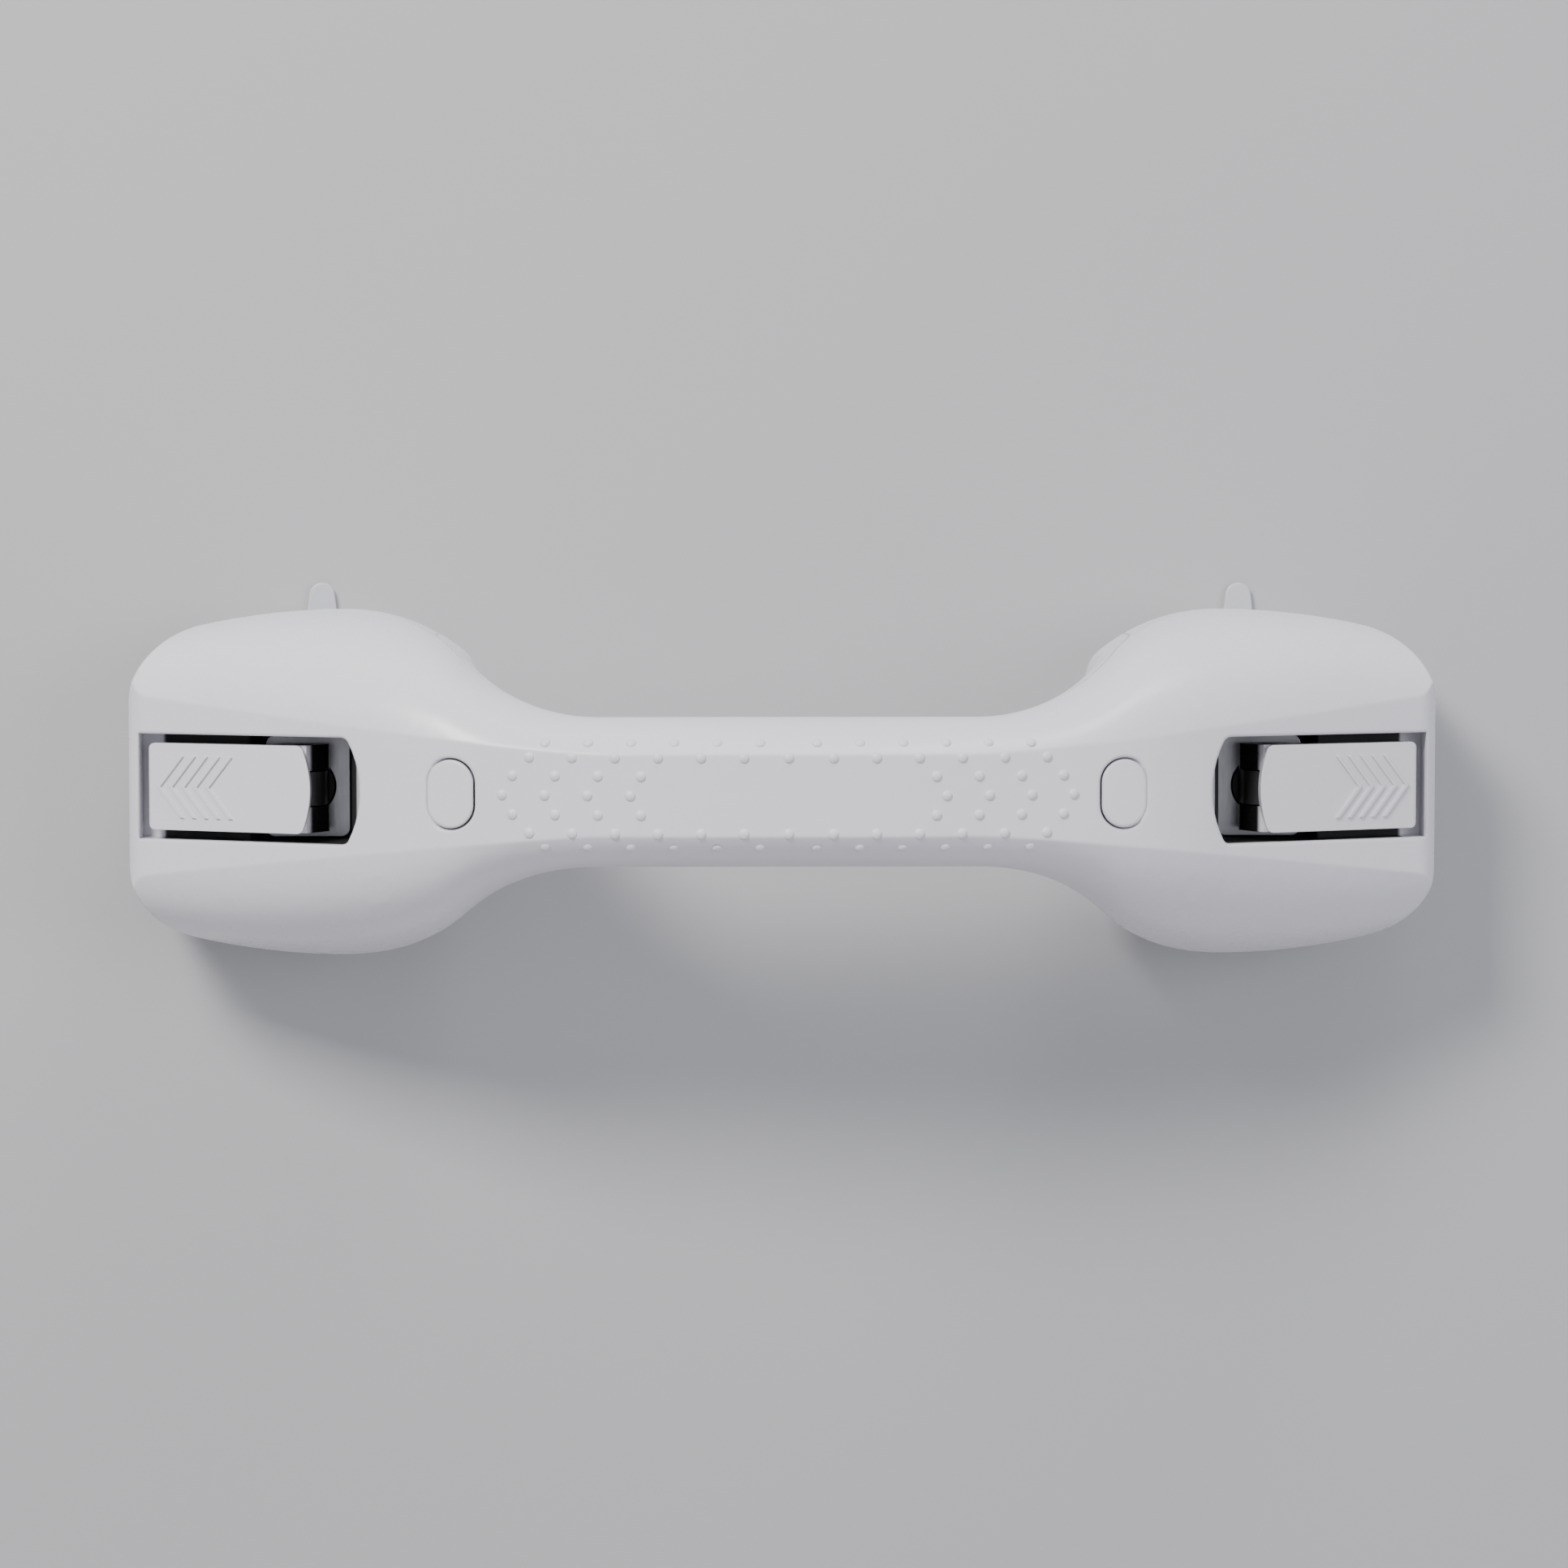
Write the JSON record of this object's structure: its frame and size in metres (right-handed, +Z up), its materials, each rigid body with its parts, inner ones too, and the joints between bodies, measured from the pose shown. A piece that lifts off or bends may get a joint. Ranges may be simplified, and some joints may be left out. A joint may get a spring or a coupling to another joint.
{
  "type": "suction grab bar",
  "caption": "Bone-shaped plastic grab bar with a flip lever and a suction cup in each head, held to a smooth wall.",
  "frame": {"origin": "on the wall, midway between the two suction cups", "axes": "+X along the bar to the right seen from the front, +Y into the wall, +Z up"},
  "size_m": [0.3, 0.086, 0.086],
  "materials": {
    "white_shell": "satin",
    "white_lever": "satin",
    "white_base": "matt",
    "black_acetal": "matt",
    "clear_rubber": "smooth",
    "steel": "brushed",
    "spring_steel": "drawn",
    "zinc_steel": "zinc plated"
  },
  "bodies": {
    "housing": {"front_shell": "white_shell", "rear_shell": "white_shell", "right_plug": "white_shell", "left_plug": "white_shell", "right_suction_cup": "clear_rubber", "left_suction_cup": "clear_rubber", "right_base_plate": "white_base", "left_base_plate": "white_base", "right_wear_plate": "steel", "left_wear_plate": "steel", "right_return_spring": "spring_steel", "left_return_spring": "spring_steel", "plug_screws": "zinc_steel", "grip_screws": "zinc_steel", "base_plate_screws": "zinc_steel"},
    "right_plunger_body": {"right_plunger": "black_acetal"},
    "right_lever_body": {"right_lever": "white_lever", "right_pivot_pin": "steel"},
    "left_plunger_body": {"left_plunger": "black_acetal"},
    "left_lever_body": {"left_lever": "white_lever", "left_pivot_pin": "steel"}
  },
  "joints": [
    {"name": "right_plunger_slide", "type": "slide", "parent": "housing", "child": "right_plunger_body", "axis": [0, 1, 0], "range_m": [0, 0.00401], "deforming": ["right_suction_cup", "right_return_spring"]},
    {"name": "right_lever_hinge", "type": "hinge", "parent": "right_plunger_body", "child": "right_lever_body", "pos_m": [0.1085, -0.05, 0], "axis": [0, 0, -1], "range_deg": [0, 100]},
    {"name": "left_plunger_slide", "type": "slide", "parent": "housing", "child": "left_plunger_body", "axis": [0, 1, 0], "range_m": [0, 0.00401], "deforming": ["left_suction_cup", "left_return_spring"]},
    {"name": "left_lever_hinge", "type": "hinge", "parent": "left_plunger_body", "child": "left_lever_body", "pos_m": [-0.1085, -0.05, 0], "axis": [0, 0, 1], "range_deg": [0, 100]}
  ],
  "couplings": [
    {"joint": "right_plunger_slide", "follows": "right_lever_hinge", "m_per_rad": 0.0022918},
    {"joint": "left_plunger_slide", "follows": "left_lever_hinge", "m_per_rad": 0.0022918}
  ]
}
